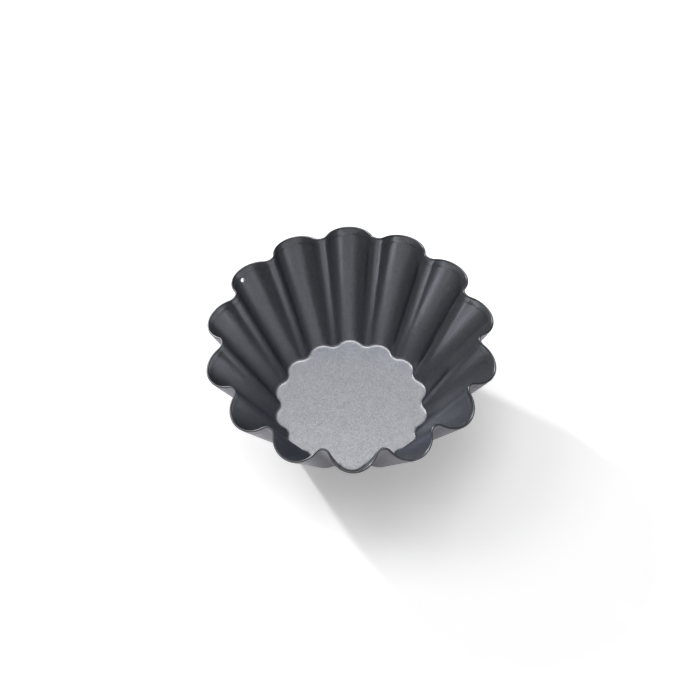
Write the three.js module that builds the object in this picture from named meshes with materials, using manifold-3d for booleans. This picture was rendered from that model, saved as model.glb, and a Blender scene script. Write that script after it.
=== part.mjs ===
// Fluted tart tin: one cup pressed from thin sheet steel, with a non-stick film inside that wraps the rim
// and a thinner protective film outside. Millimetres, +Z up. The origin is the centre of the underside and
// the X axis runs through the two hanging holes.
import * as THREE from 'three';
import { mergeVertices } from 'three/addons/utils/BufferGeometryUtils.js';
import Module from 'manifold-3d';

// Driving dimensions of the outside of the tin
const FLUTES = 14;
const RIM_RADIUS = 40; // to the crest of a flute, at the rim
const RIM_FLUTE_DEPTH = 4.8; // from crest to fold, at the rim
const BASE_RADIUS = 22.1; // to the crest of a flute, where wall and underside would meet in a sharp corner
const BASE_FLUTE_DEPTH = 1.6; // from crest to fold, at that corner
const FOLD_RADIUS = 1.9; // of the folds between the flutes
const CREST_HEIGHT = 30.8; // of the rim at the flute crests
const FOLD_RISE = 2.4; // how much higher the rim stands at the folds, where the wall leans less
const BASE_FILLET = 1.6; // round between wall and underside
const LIP_LENGTH = 1.9; // the flared band below the rim, along the wall
const LIP_INSET = 0.18; // how far the crease below the lip lies inside a straight wall

// The sheet and its films
const STEEL_THICKNESS = 0.5;
const INNER_FILM = 0.06;
const OUTER_FILM = 0.04;

// The hanging holes, one in each of two opposite flutes
const HOLE_DIAMETER = 1.2;
const HOLE_DROP = 2.7; // from the rim to the hole's centre, along the wall
const HOLE_FLUTES = [0, Math.floor(FLUTES / 2)];
const PUNCH_LENGTH = 4 * (STEEL_THICKNESS + INNER_FILM + OUTER_FILM); // through the sheet, with room to spare

// Facets
const CREST_STEPS = 6; // along the crest arc of one flute
const CREST_MIDDLE = CREST_STEPS / 2;
const FOLD_STEPS = 4; // along the fold arc to the next flute
const FLUTE_STEPS = CREST_STEPS + FOLD_STEPS;
const COLUMNS = FLUTES * FLUTE_STEPS;
const FILLET_STEPS = 3;
const WALL_STEPS = 2;
const EDGE_STEPS = 3; // round the cut edge of the sheet
const HOLE_SIDES = 16;
const TANGENT_STEP = 1e-4; // in columns, for tangents round the tin

const UP = new THREE.Vector3(0, 0, 1);
const PITCH = (2 * Math.PI) / FLUTES;

// The plan outline of the flutes is a chain of crest arcs and fold arcs, each tangent to the next.
// The result gives the point at a column, counted from the start of the crest arc that is centred on +X.
function fluteOutline(crestReach, depth) {
  const foldReach = crestReach - depth + FOLD_RADIUS;
  const foldX = foldReach * Math.cos(PITCH / 2);
  const foldY = foldReach * Math.sin(PITCH / 2);
  const run = crestReach - foldX;
  const crestRadius = (run ** 2 + foldY ** 2 - FOLD_RADIUS ** 2) / (2 * (run + FOLD_RADIUS));
  const crestX = crestReach - crestRadius;
  const turn = Math.atan2(foldY, foldX - crestX);
  const crest = new THREE.ArcCurve(crestX, 0, crestRadius, -turn, turn);
  const fold = new THREE.ArcCurve(foldX, foldY, FOLD_RADIUS, Math.PI + turn, Math.PI + PITCH - turn, true);
  return (column) => {
    const flute = Math.floor(column / FLUTE_STEPS);
    const step = column - flute * FLUTE_STEPS;
    const onCrest = step < CREST_STEPS;
    const { x, y } = onCrest
      ? crest.getPoint(step / CREST_STEPS)
      : fold.getPoint((step - CREST_STEPS) / FOLD_STEPS);
    return new THREE.Vector3(x, y, 0).applyAxisAngle(UP, flute * PITCH);
  };
}

const baseOutline = fluteOutline(BASE_RADIUS, BASE_FLUTE_DEPTH);
const rimOutline = fluteOutline(RIM_RADIUS, RIM_FLUTE_DEPTH);

// The rim lies on a shallow cone, lowest at the crests.
function rimPoint(column) {
  const point = rimOutline(column);
  point.z = CREST_HEIGHT + (FOLD_RISE * (RIM_RADIUS - point.length())) / RIM_FLUTE_DEPTH;
  return point;
}

function tangentAt(pointAt, column) {
  return pointAt(column + TANGENT_STEP).sub(pointAt(column - TANGENT_STEP)).normalize();
}

// One column of the outside, from the edge of the flat underside up to the rim: the fillet, the straight
// wall and the flared lip.
function outsideColumn(column) {
  const corner = baseOutline(column);
  const rim = rimPoint(column);
  const slope = rim.clone().sub(corner).normalize();
  const inward = tangentAt(rimPoint, column).cross(slope).negate().normalize();
  const crease = rim.clone().addScaledVector(slope, -LIP_LENGTH).addScaledVector(inward, LIP_INSET);
  const wall = crease.clone().sub(corner).normalize();
  const floor = UP.clone().cross(tangentAt(baseOutline, column));
  const setback = BASE_FILLET / Math.tan(wall.angleTo(floor) / 2);
  const floorEdge = corner.clone().addScaledVector(floor, setback);
  const wallFoot = corner.clone().addScaledVector(wall, setback);
  const fillet = new THREE.QuadraticBezierCurve3(floorEdge, corner, wallFoot).getPoints(FILLET_STEPS);
  const straight = new THREE.LineCurve3(wallFoot, crease).getPoints(WALL_STEPS);
  return [...fillet, ...straight.slice(1), rim];
}

// The direction up the outside at each point of a column. It is level at the floor and halves each bend.
function upColumn(points) {
  const last = points.length - 1;
  return points.map((point, row) => {
    const after = points[Math.min(row + 1, last)].clone().sub(point).normalize();
    const before = point.clone().sub(points[Math.max(row - 1, 0)]).normalize();
    return after.add(before).normalize();
  });
}

// The outside of the tin as columns of points, each with the normal into the sheet and the way up the wall.
function outsideGrid() {
  const grid = [];
  for (let column = 0; column < COLUMNS; column++) {
    const points = outsideColumn(column);
    const ahead = outsideColumn(column + TANGENT_STEP);
    const behind = outsideColumn(column - TANGENT_STEP);
    const ways = upColumn(points);
    grid.push(
      points.map((point, row) => {
        const tangent = ahead[row].clone().sub(behind[row]).normalize();
        const inward = row === 0 ? UP.clone() : ways[row].clone().cross(tangent).normalize();
        return { point, inward, way: ways[row] };
      }),
    );
  }
  return grid;
}

const GRID = outsideGrid();
const ROWS = GRID[0].length;
const RIM_ROW = ROWS - 1;

// A ring of points round the tin at one row, set into the sheet by a depth.
function ringAt(row, depth) {
  return GRID.map((column) => column[row].point.clone().addScaledVector(column[row].inward, depth));
}

function ringsAt(depth) {
  return Array.from({ length: ROWS }, (_, row) => ringAt(row, depth));
}

// Rings round the half-round cut edge of the sheet, at a radius from its middle, from outside to inside.
function edgeRings(radius) {
  return Array.from({ length: EDGE_STEPS + 1 }, (_, step) => {
    const angle = (Math.PI * step) / EDGE_STEPS;
    return GRID.map((column) => {
      const { point, inward, way } = column[RIM_ROW];
      return point
        .clone()
        .addScaledVector(inward, OUTER_FILM + STEEL_THICKNESS / 2 - radius * Math.cos(angle))
        .addScaledVector(way, radius * Math.sin(angle));
    });
  });
}

// Triangles between successive rings, facing away from the tin's axis where the rings climb.
function bands(rings) {
  const triangles = [];
  for (let row = 0; row + 1 < rings.length; row++) {
    const low = rings[row];
    const high = rings[row + 1];
    low.forEach((point, column) => {
      const next = (column + 1) % low.length;
      triangles.push([point, low[next], high[next]], [point, high[next], high[column]]);
    });
  }
  return triangles;
}

// The flat floor inside a ring, facing down.
function floorFan(ring) {
  const centre = new THREE.Vector3(0, 0, ring[0].z);
  return ring.map((point, column) => [centre, ring[(column + 1) % ring.length], point]);
}

function flipped(triangles) {
  return triangles.map(([a, b, c]) => [a, c, b]);
}

// Every face is made once. Two layers that meet share it, turned over in one of them.
const steelDepth = OUTER_FILM + STEEL_THICKNESS;
const outsideRings = ringsAt(0);
const steelOutsideRings = ringsAt(OUTER_FILM);
const steelInsideRings = ringsAt(steelDepth);
const insideRings = ringsAt(steelDepth + INNER_FILM);
const steelEdgeRings = edgeRings(STEEL_THICKNESS / 2);
const filmEdgeRings = edgeRings(STEEL_THICKNESS / 2 + INNER_FILM);

function face(rings) {
  return [...floorFan(rings[0]), ...bands(rings)];
}

const outsideFace = face(outsideRings);
const steelOutsideFace = face(steelOutsideRings);
const steelInsideFace = face(steelInsideRings);
const insideFace = face(insideRings);

// The steel's edge starts and ends on the rings of its two faces.
steelEdgeRings[0] = steelOutsideRings[RIM_ROW];
steelEdgeRings[EDGE_STEPS] = steelInsideRings[RIM_ROW];
filmEdgeRings[EDGE_STEPS] = insideRings[RIM_ROW];
const steelEdge = bands(steelEdgeRings);
const filmEdge = bands(filmEdgeRings);

const layers = {
  outer_coating: [
    ...outsideFace,
    ...bands([outsideRings[RIM_ROW], steelOutsideRings[RIM_ROW]]),
    ...flipped(steelOutsideFace),
  ],
  steel_shell: [...steelOutsideFace, ...steelEdge, ...flipped(steelInsideFace)],
  inner_nonstick_coating: [
    ...steelInsideFace,
    ...flipped(steelEdge),
    ...bands([steelEdgeRings[0], filmEdgeRings[0]]),
    ...filmEdge,
    ...flipped(insideFace),
  ],
};

const finishes = {
  outer_coating: { color: 0x6b6871, roughness: 0.45, metalness: 0.4 },
  steel_shell: { color: 0x9a9c9f, roughness: 0.35, metalness: 1 },
  inner_nonstick_coating: { color: 0x4a4c52, roughness: 0.4, metalness: 0.5 },
};

const wasm = await Module();
wasm.setup();

function solidFrom(geometry) {
  const bare = geometry.clone();
  bare.deleteAttribute('normal');
  bare.deleteAttribute('uv');
  const merged = mergeVertices(bare);
  const mesh = new wasm.Mesh({
    numProp: 3,
    vertProperties: new Float32Array(merged.attributes.position.array),
    triVerts: new Uint32Array(merged.index.array),
  });
  return new wasm.Manifold(mesh);
}

function layerGeometry(triangles) {
  return new THREE.BufferGeometry().setFromPoints(triangles.flat());
}

function geometryFrom(solid) {
  const mesh = solid.getMesh();
  const geometry = new THREE.BufferGeometry();
  geometry.setAttribute('position', new THREE.BufferAttribute(mesh.vertProperties, 3));
  geometry.setIndex(new THREE.BufferAttribute(mesh.triVerts, 1));
  geometry.computeVertexNormals();
  return geometry;
}

// A punch through the whole sheet, square to the wall at a flute's crest.
function holePunch(flute) {
  const column = GRID[flute * FLUTE_STEPS + CREST_MIDDLE];
  const crease = column[RIM_ROW - 1].point;
  const { inward, way } = column[RIM_ROW - 2];
  const centre = crease.clone().addScaledVector(way, LIP_LENGTH - HOLE_DROP);
  const punch = new THREE.CylinderGeometry(HOLE_DIAMETER / 2, HOLE_DIAMETER / 2, PUNCH_LENGTH, HOLE_SIDES);
  punch.applyQuaternion(new THREE.Quaternion().setFromUnitVectors(new THREE.Vector3(0, 1, 0), inward));
  punch.translate(centre.x, centre.y, centre.z);
  return solidFrom(punch);
}

const punches = HOLE_FLUTES.map(holePunch);

const tin = new THREE.Group();
for (const [name, triangles] of Object.entries(layers)) {
  const solid = punches.reduce((cut, punch) => cut.subtract(punch), solidFrom(layerGeometry(triangles)));
  const mesh = new THREE.Mesh(geometryFrom(solid), new THREE.MeshStandardMaterial(finishes[name]));
  mesh.name = name;
  tin.add(mesh);
}

export default tin;
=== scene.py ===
"""Looks of the fluted tart tin: a pressed steel cup with a dark, flaked non-stick film inside and
a thinner film outside. The fine sheet follows the same arcs as the solids, in metres, with the
origin at the centre of the underside and the X axis through the two hanging holes."""
import math

import bpy
import numpy as np
from mathutils import Matrix, Vector


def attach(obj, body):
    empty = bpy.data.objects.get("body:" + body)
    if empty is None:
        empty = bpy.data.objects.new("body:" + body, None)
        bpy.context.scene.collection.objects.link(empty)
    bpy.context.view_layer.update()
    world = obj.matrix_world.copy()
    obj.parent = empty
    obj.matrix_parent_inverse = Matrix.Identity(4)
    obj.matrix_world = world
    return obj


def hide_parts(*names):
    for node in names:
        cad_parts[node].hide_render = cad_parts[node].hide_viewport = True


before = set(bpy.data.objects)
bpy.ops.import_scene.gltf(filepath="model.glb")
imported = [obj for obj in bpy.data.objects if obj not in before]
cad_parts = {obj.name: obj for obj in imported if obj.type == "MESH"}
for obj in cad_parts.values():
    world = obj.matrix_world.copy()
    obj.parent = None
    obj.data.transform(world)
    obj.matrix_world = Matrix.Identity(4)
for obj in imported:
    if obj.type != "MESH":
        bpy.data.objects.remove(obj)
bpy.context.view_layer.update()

MM = 0.001
UP = np.array([0.0, 0.0, 1.0])

# The outside of the tin
FLUTES = 14
RIM_RADIUS = 40 * MM  # to the crest of a flute, at the rim
RIM_FLUTE_DEPTH = 4.8 * MM  # from crest to fold, at the rim
BASE_RADIUS = 22.1 * MM  # to the crest of a flute, where wall and underside would meet in a sharp corner
BASE_FLUTE_DEPTH = 1.6 * MM
FOLD_RADIUS = 1.9 * MM
CREST_HEIGHT = 30.8 * MM
FOLD_RISE = 2.4 * MM  # how much higher the rim stands at the folds
BASE_FILLET = 1.6 * MM
LIP_LENGTH = 1.98 * MM  # the band below the rim, along the wall, with the step at its foot
LIP_INSET = 0.08 * MM  # how far the wall steps in at the foot of the lip
STEP_HEIGHT = 0.4 * MM

# The sheet and its films
STEEL_THICKNESS = 0.5 * MM
INNER_FILM = 0.06 * MM
OUTER_FILM = 0.04 * MM
STEEL_DEPTH = OUTER_FILM + STEEL_THICKNESS
FULL_DEPTH = STEEL_DEPTH + INNER_FILM

# The hanging holes
HOLE_RADIUS = 0.6 * MM
HOLE_DROP = 2.7 * MM  # from the rim to the hole's centre, along the wall
HOLE_FLUTES = (0, FLUTES // 2)
HOLE_COLLAR = 1.17  # radius of the ring of mesh round a hole, in hole radii
HOLE_START = math.radians(225)  # where the rings round a hole start: its lower left, seen from outside
HOLE_CENTRE = LIP_LENGTH - HOLE_DROP  # along the wall from the foot of the lip's step

# Mesh counts
CREST_COLUMNS = 24
FOLD_COLUMNS = 10
FLUTE_COLUMNS = CREST_COLUMNS + FOLD_COLUMNS
COLUMNS = FLUTES * FLUTE_COLUMNS
PATCH_HALF = 3  # columns of the patch of mesh each side of a hole
PATCH_ROWS = 2 * PATCH_HALF
FILLET_ROWS = 8
WALL_ROWS = 5
STEP_ROWS = 6
EDGE_ROWS = 8
FLOOR_RINGS = (0.3, 0.6, 0.85, 0.96)  # shares of the way from the centre to the floor's edge

PITCH = 2 * math.pi / FLUTES
CREST_SHARE = CREST_COLUMNS / FLUTE_COLUMNS
STEP = 1e-4  # for tangents, in flutes round the tin and in runs up its side
SHARP_ANGLE = math.radians(40)  # edges that bend more than this are shaded as sharp

# Runs up the side: fillet, straight wall, step and lip each take one unit.
FILLET_END, WALL_END, STEP_END, RIM_RUN = 1.0, 2.0, 3.0, 4.0


def unit(vectors):
    return vectors / np.linalg.norm(vectors, axis=-1, keepdims=True)


def flute_plan(column, reach, depth):
    """Plan of the flutes at columns counted in flutes, with crest arcs tangent to fold arcs."""
    flute = np.round(column)
    offset = column - flute
    fold_reach = reach - depth + FOLD_RADIUS
    fold_x = fold_reach * math.cos(PITCH / 2)
    fold_y = fold_reach * math.sin(PITCH / 2)
    run = reach - fold_x
    crest_radius = (run**2 + fold_y**2 - FOLD_RADIUS**2) / (2 * (run + FOLD_RADIUS))
    crest_x = reach - crest_radius
    turn = math.atan2(fold_y, fold_x - crest_x)
    half_crest = CREST_SHARE / 2
    on_crest = np.abs(offset) <= half_crest
    crest_angle = turn * np.abs(offset) / half_crest
    past_crest = (np.abs(offset) - half_crest) / (0.5 - half_crest)
    fold_angle = math.pi + turn + past_crest * (PITCH / 2 - turn)
    crest_point = crest_x + crest_radius * np.cos(crest_angle), crest_radius * np.sin(crest_angle)
    fold_point = fold_x + FOLD_RADIUS * np.cos(fold_angle), fold_y + FOLD_RADIUS * np.sin(fold_angle)
    x = np.where(on_crest, crest_point[0], fold_point[0])
    y = np.where(on_crest, crest_point[1], fold_point[1]) * np.sign(offset)
    cos, sin = np.cos(flute * PITCH), np.sin(flute * PITCH)
    return np.stack([x * cos - y * sin, x * sin + y * cos, np.zeros_like(x)], axis=-1)


def base_point(column):
    return flute_plan(column, BASE_RADIUS, BASE_FLUTE_DEPTH)


def rim_point(column):
    """The rim lies on a shallow cone, lowest at the crests."""
    point = flute_plan(column, RIM_RADIUS, RIM_FLUTE_DEPTH)
    reach = np.linalg.norm(point, axis=-1)
    point[..., 2] = CREST_HEIGHT + FOLD_RISE * (RIM_RADIUS - reach) / RIM_FLUTE_DEPTH
    return point


def tangent(point_at, column):
    return unit(point_at(column + STEP) - point_at(column - STEP))


def bezier(start, corner, end, share):
    return (1 - share) ** 2 * start + 2 * share * (1 - share) * corner + share**2 * end


def eased_step(foot, top, wall, share):
    """From the line of the wall across to that of the lip, with a soft bend at each end."""
    rise = np.sum((top - foot) * wall, axis=-1, keepdims=True) * wall
    return foot + rise * share + (top - foot - rise) * share**2 * (3 - 2 * share)


def side_frame(column):
    """Corner, foot and top of the lip's step, rim and way up the wall, outside the tin at a column."""
    corner = base_point(column)
    rim = rim_point(column)
    slope = unit(rim - corner)
    inward = unit(np.cross(slope, tangent(rim_point, column)))
    step_foot = rim - slope * LIP_LENGTH - inward * LIP_INSET
    step_top = rim - slope * (LIP_LENGTH - STEP_HEIGHT)
    return corner, step_foot, step_top, rim, unit(step_foot - corner)


def outside_point(column, run):
    """Outside of the tin at a column round it and a run up its side."""
    corner, step_foot, step_top, rim, wall = side_frame(column)
    floor = np.cross(UP, tangent(base_point, column))
    bend = np.arccos(np.sum(wall * floor, axis=-1, keepdims=True))
    setback = BASE_FILLET / np.tan(bend / 2)
    foot = corner + wall * setback
    share = run[..., None]
    pieces = (
        bezier(corner + floor * setback, corner, foot, share),
        foot + (step_foot - foot) * (share - FILLET_END),
        eased_step(step_foot, step_top, wall, share - WALL_END),
        step_top + (rim - step_top) * (share - STEP_END),
    )
    return np.select([share <= FILLET_END, share <= WALL_END, share <= STEP_END], pieces[:3], pieces[3])


def sheet_frame(column, run):
    """Outside point, normal into the sheet and way up the side."""
    point = outside_point(column, run)
    above = outside_point(column, np.minimum(run + STEP, RIM_RUN))
    below = outside_point(column, np.maximum(run - STEP, 0.0))
    way = unit(above - below)
    around = outside_point(column + STEP, run) - outside_point(column - STEP, run)
    inward = unit(np.cross(way, unit(around)))
    inward[run == 0.0] = UP
    return point, inward, way


def sheet_point(column, run, depth):
    point, inward, _ = sheet_frame(column, run)
    return point + inward * depth


def hole_run(slant):
    """Run up a crest for a distance along the wall from the foot of the lip's step, upwards positive."""
    _, step_foot, *_ = side_frame(np.array([0.0]))
    wall_foot = outside_point(np.array([0.0]), np.array([FILLET_END]))
    return WALL_END + slant / np.where(slant < 0, np.linalg.norm(step_foot - wall_foot), STEP_HEIGHT)


def row_runs():
    """Runs of the rows of mesh, with a close-set group of rows round the holes."""
    patch_low = float(hole_run(np.array(2 * HOLE_CENTRE)))
    return np.concatenate([
        np.linspace(0.0, FILLET_END, FILLET_ROWS, endpoint=False),
        np.linspace(FILLET_END, patch_low, WALL_ROWS, endpoint=False),
        np.linspace(patch_low, WALL_END, PATCH_ROWS, endpoint=False),
        np.linspace(WALL_END, STEP_END, STEP_ROWS, endpoint=False),
        [STEP_END, RIM_RUN],
    ])


RUNS = row_runs()
PATCH_LOW_ROW = FILLET_ROWS + WALL_ROWS
GRID_COLUMNS = np.arange(COLUMNS) / FLUTE_COLUMNS


class Layer:
    """Vertex numbers of one face of the sheet: floor rings, side rows and the rings round the holes."""

    def __init__(self):
        floor_count = len(FLOOR_RINGS)
        rows = floor_count + len(RUNS)
        self.grid = np.arange(rows * COLUMNS).reshape(rows, COLUMNS)
        self.rim = self.grid[-1]
        self.patch_low = floor_count + PATCH_LOW_ROW
        self.patch_columns = {}
        used = rows * COLUMNS
        self.hole_rings = []
        for flute in HOLE_FLUTES:
            border = self.patch_border(flute)
            rings = used + np.arange(2 * len(border)).reshape(2, -1)
            used += rings.size
            self.hole_rings.append((border, rings))

    def patch_border(self, flute):
        """Vertices round the patch of a hole, anticlockwise from its lower left, seen from outside."""
        middle = flute * FLUTE_COLUMNS
        span = np.arange(middle - PATCH_HALF, middle + PATCH_HALF + 1) % COLUMNS
        rows = np.arange(self.patch_low, self.patch_low + PATCH_ROWS + 1)
        block = self.grid[np.ix_(rows, span)]
        self.patch_columns[flute] = set(span[:-1].tolist())
        return np.concatenate([block[0, :-1], block[:-1, -1], block[-1, :0:-1], block[:0:-1, 0]])

    def points(self, depth):
        column, run = np.meshgrid(GRID_COLUMNS, RUNS)
        side = sheet_point(column.ravel(), run.ravel(), depth)
        edge = side[:COLUMNS]
        centre = np.array([0.0, 0.0, depth])
        floor = [centre + (edge - centre) * share for share in FLOOR_RINGS]
        grid = np.concatenate(floor + [side])
        holes = [ring for (border, _), flute in zip(self.hole_rings, HOLE_FLUTES)
                 for ring in hole_points(flute, len(border), depth)]
        return np.concatenate([grid] + holes)

    def faces(self):
        """Quads that face out of the tin, and the middle of the floor."""
        faces = [tuple(self.grid[0][::-1])]
        holes = set()
        for columns in self.patch_columns.values():
            holes |= {(row, column) for column in columns
                      for row in range(self.patch_low, self.patch_low + PATCH_ROWS)}
        for row in range(len(self.grid) - 1):
            low, high = self.grid[row], self.grid[row + 1]
            faces += [(low[c], low[(c + 1) % COLUMNS], high[(c + 1) % COLUMNS], high[c])
                      for c in range(COLUMNS) if (row, c) not in holes]
        for border, (collar, edge) in self.hole_rings:
            faces += strip(border, collar) + strip(collar, edge)
        return faces


def hole_points(flute, count, depth):
    """Two rings on the sheet round a hole, a collar and the edge, in step with the patch's border."""
    angle = HOLE_START + 2 * math.pi * np.arange(count) / count
    centre_run = hole_run(np.array([HOLE_CENTRE, HOLE_CENTRE]))
    middle, beside = sheet_point(np.array([flute, flute + STEP]), centre_run, depth)
    column_width = np.linalg.norm(beside - middle) / STEP
    rings = []
    for radius in (HOLE_RADIUS * HOLE_COLLAR, HOLE_RADIUS):
        column = flute + radius * np.cos(angle) / column_width
        run = hole_run(HOLE_CENTRE + radius * np.sin(angle))
        rings.append(sheet_point(column, run, depth))
    return rings


def strip(low, high):
    """Quads between two closed rings of vertices."""
    count = len(low)
    return [(low[i], low[(i + 1) % count], high[(i + 1) % count], high[i]) for i in range(count)]


def edge_points(radius):
    """Rings round the half-round cut edge of the sheet, at a radius from its middle."""
    point, inward, way = sheet_frame(GRID_COLUMNS, np.full(COLUMNS, RIM_RUN))
    angles = np.linspace(0.0, math.pi, EDGE_ROWS + 1)[1:-1]
    middle = OUTER_FILM + STEEL_THICKNESS / 2
    return [point + inward * (middle - radius * math.cos(angle)) + way * (radius * math.sin(angle))
            for angle in angles]


LAYER = Layer()


class Solid:
    """Collects the vertices and faces of one closed piece."""

    def __init__(self):
        self.points = []
        self.faces = []
        self.slots = []
        self.count = 0

    def add_points(self, points):
        start = self.count
        self.points.append(points)
        self.count += len(points)
        return start

    def ring(self, points):
        return np.arange(len(points)) + self.add_points(points)

    def add_faces(self, faces, outwards=True, slot=0):
        self.faces += faces if outwards else [tuple(reversed(face)) for face in faces]
        self.slots += [slot] * len(faces)

    def add_layer(self, depth, outwards):
        start = self.add_points(LAYER.points(depth))
        self.add_faces([tuple(v + start for v in face) for face in LAYER.faces()], outwards)
        return start

    def add_bores(self, outer, inner):
        for _, rings in LAYER.hole_rings:
            self.add_faces(strip(rings[1] + outer, rings[1] + inner))

    def add_edge(self, rings, outwards, slot=0):
        for low, high in zip(rings, rings[1:]):
            self.add_faces(strip(low, high), outwards, slot)

    def piece(self, name):
        mesh = bpy.data.meshes.new(name)
        points = np.concatenate(self.points)
        mesh.from_pydata(points.tolist(), [], [[int(v) for v in face] for face in self.faces])
        mesh.polygons.foreach_set("material_index", self.slots)
        mesh.validate()
        mesh.shade_smooth()
        mesh.set_sharp_from_angle(angle=SHARP_ANGLE)
        piece = bpy.data.objects.new(name, mesh)
        bpy.context.scene.collection.objects.link(piece)
        return piece


def steel_piece():
    solid = Solid()
    outer = solid.add_layer(OUTER_FILM, True)
    inner = solid.add_layer(STEEL_DEPTH, False)
    middle = [solid.ring(points) for points in edge_points(STEEL_THICKNESS / 2)]
    solid.add_edge([LAYER.rim + outer, *middle, LAYER.rim + inner], True)
    solid.add_bores(outer, inner)
    return solid.piece("steel_core")


def inner_film_piece():
    """The film inside, which wraps over the cut edge of the steel and ends on the outer film. Its
    second material is for the smooth bead on the edge."""
    solid = Solid()
    back = solid.add_layer(STEEL_DEPTH, True)
    face = solid.add_layer(FULL_DEPTH, False)
    under = [solid.ring(points) for points in edge_points(STEEL_THICKNESS / 2)]
    over = [solid.ring(points) for points in edge_points(STEEL_THICKNESS / 2 + INNER_FILM)]
    rim, inward, _ = sheet_frame(GRID_COLUMNS, np.full(COLUMNS, RIM_RUN))
    seat = solid.ring(rim + inward * OUTER_FILM)
    end = solid.ring(rim + inward * (OUTER_FILM - INNER_FILM))
    solid.add_edge([seat, *under, LAYER.rim + back], False)
    solid.add_edge([seat, end, *over, LAYER.rim + face], True, slot=1)
    solid.add_bores(back, face)
    return solid.piece("inner_nonstick_skin")


def outer_film_piece():
    solid = Solid()
    face = solid.add_layer(0.0, True)
    back = solid.add_layer(OUTER_FILM, False)
    solid.add_edge([LAYER.rim + face, LAYER.rim + back], True)
    solid.add_bores(face, back)
    return solid.piece("outer_skin")


class Nodes:
    """A short way to add linked nodes to a material."""

    def __init__(self, name):
        self.material = bpy.data.materials.new(name)
        self.material.use_nodes = True
        self.tree = self.material.node_tree
        self.tree.nodes.clear()

    def add(self, kind, settings=None, **inputs):
        node = self.tree.nodes.new(kind)
        for key, value in (settings or {}).items():
            setattr(node, key, value)
        for key, value in inputs.items():
            self.feed(node.inputs[key.replace("_", " ")], value)
        return node

    def feed(self, socket, value):
        if isinstance(value, bpy.types.NodeSocket):
            self.tree.links.new(value, socket)
        else:
            socket.default_value = value

    def mapped(self, value, low, high):
        node = self.add("ShaderNodeMapRange", Value=value)
        node.inputs["To Min"].default_value = low
        node.inputs["To Max"].default_value = high
        return node.outputs["Result"]

    def ramp(self, value, stops):
        node = self.add("ShaderNodeValToRGB", Fac=value)
        elements = node.color_ramp.elements
        while len(elements) < len(stops):
            elements.new(1.0)
        for element, (place, colour) in zip(elements, stops):
            element.position = place
            element.color = (*colour, 1.0)
        return node.outputs["Color"]

    def vector(self, operation, first, second):
        node = self.add("ShaderNodeVectorMath", {"operation": operation})
        self.feed(node.inputs[0], first)
        self.feed(node.inputs[1], second)
        return node.outputs["Vector"]

    def surface(self, shader):
        self.add("ShaderNodeOutputMaterial", Surface=shader)
        return self.material


# The grain of the finishes
FLAKE_SIZE = 0.25 * MM
PEEL_SIZE = 0.9 * MM  # waves of the orange peel
PEEL_HEIGHT = 0.02 * MM
GLOSS_PATCH = 7 * MM  # patches of more and less gloss
BEAD_RUN = 1.5 * MM  # runs of the film along the cut edge
STEEL_LINE = 0.6 * MM  # drawing lines of the bare sheet
STEEL_SQUEEZE = (1, 1, 12)  # makes those lines thin upwards, so that they run round the tin


def flaked_film(name, tints, flop, tilt, roughness, metallic, peel):
    """A dark baked film full of tiny metal flakes, each tilted a little, with a faint orange peel.
    Seen at a slant it takes the tint of its flop, because the light passes more pigment."""
    nodes = Nodes(name)
    place = nodes.add("ShaderNodeTexCoord").outputs["Object"]
    flakes = nodes.add("ShaderNodeTexVoronoi", Vector=place, Scale=1 / FLAKE_SIZE)
    shade = nodes.add("ShaderNodeSeparateColor", Color=flakes.outputs["Color"]).outputs["Red"]
    centred = nodes.vector("SUBTRACT", flakes.outputs["Color"], (0.5, 0.5, 0.5))
    lean = nodes.vector("MULTIPLY", centred, (tilt, tilt, tilt))
    normal = nodes.add("ShaderNodeNewGeometry").outputs["Normal"]
    tilted = nodes.vector("NORMALIZE", nodes.vector("ADD", normal, lean), (0, 0, 0))
    skin = nodes.add("ShaderNodeTexNoise", Vector=place, Scale=1 / PEEL_SIZE, Detail=2.0)
    bump = nodes.add("ShaderNodeBump", Height=skin.outputs["Fac"], Normal=tilted, Strength=peel,
                     Distance=PEEL_HEIGHT)
    patches = nodes.add("ShaderNodeTexNoise", Vector=place, Scale=1 / GLOSS_PATCH, Detail=3.0)
    gloss = nodes.mapped(patches.outputs["Fac"], *roughness)
    shader = nodes.add("ShaderNodeBsdfPrincipled", Base_Color=nodes.ramp(shade, tints),
                       Metallic=metallic, Specular_Tint=flop, Roughness=gloss,
                       Normal=bump.outputs["Normal"])
    return nodes.surface(shader.outputs["BSDF"])


def film_bead():
    """Smooth dark bead of film with few flakes, pulled thin over the cut edge."""
    nodes = Nodes("film_bead")
    place = nodes.add("ShaderNodeTexCoord").outputs["Object"]
    runs = nodes.add("ShaderNodeTexNoise", Vector=place, Scale=1 / BEAD_RUN, Detail=3.0)
    shades = [(0.3, (0.09, 0.093, 0.1)), (0.7, (0.13, 0.133, 0.14))]
    colour = nodes.ramp(runs.outputs["Fac"], shades)
    shader = nodes.add("ShaderNodeBsdfPrincipled", Base_Color=colour, Metallic=1.0,
                       Roughness=nodes.mapped(runs.outputs["Fac"], 0.3, 0.4))
    return nodes.surface(shader.outputs["BSDF"])


def brushed_steel():
    """Bare sheet, seen only inside the hanging holes."""
    nodes = Nodes("drawn_steel")
    place = nodes.add("ShaderNodeTexCoord").outputs["Object"]
    lines = nodes.add("ShaderNodeTexNoise", Vector=nodes.vector("MULTIPLY", place, STEEL_SQUEEZE),
                      Scale=1 / STEEL_LINE, Detail=4.0)
    shades = [(0.3, (0.42, 0.43, 0.44)), (0.7, (0.62, 0.63, 0.64))]
    colour = nodes.ramp(lines.outputs["Fac"], shades)
    shader = nodes.add("ShaderNodeBsdfPrincipled", Base_Color=colour, Metallic=1.0,
                       Roughness=nodes.mapped(lines.outputs["Fac"], 0.25, 0.42))
    return nodes.surface(shader.outputs["BSDF"])


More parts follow.
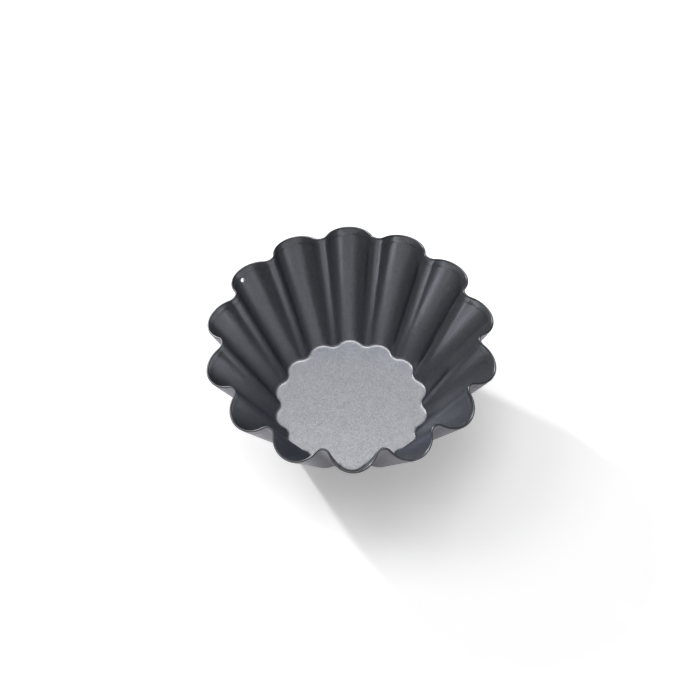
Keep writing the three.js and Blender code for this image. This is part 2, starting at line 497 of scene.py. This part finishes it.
# The table that the tin stands on
FLOOR_SIDE = 3.0
FLOOR_DROP = 0.02 * MM  # keeps the table just clear of the underside
FLOOR_COLOUR = (0.93, 0.93, 0.93, 1)
FLOOR_GLOW = (0.3, 0.3, 0.3, 1)


def white_floor():
    """A white table. Seen directly or in a reflection it glows a little, so that it stays white but
    keeps its shadows."""
    nodes = Nodes("white_floor")
    seen = nodes.add("ShaderNodeLightPath")
    total = nodes.add("ShaderNodeMath", {"operation": "ADD"})
    nodes.feed(total.inputs[0], seen.outputs["Is Camera Ray"])
    nodes.feed(total.inputs[1], seen.outputs["Is Glossy Ray"])
    every = nodes.add("ShaderNodeMath", {"operation": "ADD", "use_clamp": True})
    nodes.feed(every.inputs[0], total.outputs["Value"])
    nodes.feed(every.inputs[1], seen.outputs["Is Transmission Ray"])
    glow = nodes.add("ShaderNodeEmission", Color=FLOOR_GLOW, Strength=every.outputs["Value"])
    matt = nodes.add("ShaderNodeBsdfDiffuse", Color=FLOOR_COLOUR)
    both = nodes.add("ShaderNodeAddShader")
    nodes.feed(both.inputs[0], matt.outputs["BSDF"])
    nodes.feed(both.inputs[1], glow.outputs["Emission"])
    return nodes.surface(both.outputs["Shader"])


def dress(piece, materials, node):
    for material in materials:
        piece.data.materials.append(material)
    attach(piece, "root")
    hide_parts(node)


def build_tin():
    inner = flaked_film(
        "nonstick_film",
        tints=[(0.0, (0.312, 0.316, 0.336)), (1.0, (0.368, 0.373, 0.396))],
        flop=(0.3, 0.34, 0.43, 1), tilt=0.05, roughness=(0.31, 0.37), metallic=0.97, peel=0.2)
    outer = flaked_film(
        "outer_film",
        tints=[(0.0, (0.158, 0.153, 0.18)), (1.0, (0.217, 0.21, 0.244))],
        flop=(1, 1, 1, 1), tilt=0.1, roughness=(0.36, 0.48), metallic=0.7, peel=0.3)
    dress(inner_film_piece(), [inner, film_bead()], "inner_nonstick_coating")
    dress(steel_piece(), [brushed_steel()], "steel_shell")
    dress(outer_film_piece(), [outer], "outer_coating")


def build_floor():
    half = FLOOR_SIDE / 2
    corners = [(-half, -half, 0), (half, -half, 0), (half, half, 0), (-half, half, 0)]
    mesh = bpy.data.meshes.new("floor")
    mesh.from_pydata(corners, [], [(0, 1, 2, 3)])
    floor = bpy.data.objects.new("floor", mesh)
    floor.location.z = -FLOOR_DROP
    bpy.context.scene.collection.objects.link(floor)
    mesh.materials.append(white_floor())


# The camera
CAMERA_AZIMUTH = math.radians(37.67)  # 0 looks along +Y
CAMERA_ELEVATION = math.radians(56.93)
CAMERA_DISTANCE = 0.6379
CAMERA_LENS = 120.5  # focal length in millimetres
CAMERA_CLIP = 0.01
AIM_HEIGHT = 31 * MM
AIM_LEFT = 0.29 * MM
AIM_DOWN = 1.16 * MM


def view_axes(azimuth, elevation):
    """Right, up and back of a camera that looks at the object from there."""
    right = Vector((math.cos(azimuth), math.sin(azimuth), 0))
    back = Vector((math.sin(azimuth) * math.cos(elevation), -math.cos(azimuth) * math.cos(elevation),
                   math.sin(elevation)))
    return right, back.cross(right), back


def place_facing(thing, azimuth, elevation, target, distance):
    right, up, back = view_axes(azimuth, elevation)
    turn = Matrix((right, up, back)).transposed().to_4x4()
    thing.matrix_world = Matrix.Translation(target + back * distance) @ turn


def build_camera():
    data = bpy.data.cameras.new("camera")
    data.lens = CAMERA_LENS
    data.clip_start = CAMERA_CLIP
    camera = bpy.data.objects.new("camera", data)
    bpy.context.scene.collection.objects.link(camera)
    right, up, _ = view_axes(CAMERA_AZIMUTH, CAMERA_ELEVATION)
    target = Vector((0, 0, AIM_HEIGHT)) - right * AIM_LEFT - up * AIM_DOWN
    place_facing(camera, CAMERA_AZIMUTH, CAMERA_ELEVATION, target, CAMERA_DISTANCE)
    bpy.context.scene.camera = camera


# Lights, placed by the side they stand on, as an angle from the camera's side
KEY_SIDE = math.radians(-133.6)  # behind the tin, to the left
KEY_ELEVATION = math.radians(25)
KEY_STRENGTH = 2.2
KEY_ANGLE = math.radians(4)
SOFTBOX_DISTANCE = 1.2
WORLD_STRENGTH = 0.23
SOFTBOXES = (  # name, side and elevation in degrees, width, radiance
    ("left_softbox", -115, 50, 0.45, 5.2),
    ("back_softbox", -175, 72, 0.6, 1.6),
    ("top_softbox", 0, 90, 0.9, 1.75),
)


def add_lamp(data, side, elevation, distance):
    lamp = bpy.data.objects.new(data.name, data)
    lamp.visible_camera = False
    bpy.context.scene.collection.objects.link(lamp)
    place_facing(lamp, CAMERA_AZIMUTH + side, elevation, Vector((0, 0, 0)), distance)


def build_lights():
    key = bpy.data.lights.new("key", "SUN")
    key.energy = KEY_STRENGTH
    key.angle = KEY_ANGLE
    add_lamp(key, KEY_SIDE, KEY_ELEVATION, SOFTBOX_DISTANCE)
    for name, side, elevation, width, radiance in SOFTBOXES:
        softbox = bpy.data.lights.new(name, "AREA")
        softbox.shape = "SQUARE"
        softbox.size = width
        softbox.energy = radiance * math.pi * width**2
        add_lamp(softbox, math.radians(side), math.radians(elevation), SOFTBOX_DISTANCE)
    world = bpy.data.worlds.new("studio")
    world.use_nodes = True
    background = world.node_tree.nodes["Background"]
    background.inputs["Color"].default_value = (1, 1, 1, 1)
    background.inputs["Strength"].default_value = WORLD_STRENGTH
    bpy.context.scene.world = world


build_camera()
build_lights()
build_floor()
build_tin()
bpy.context.scene.view_settings.view_transform = "Standard"
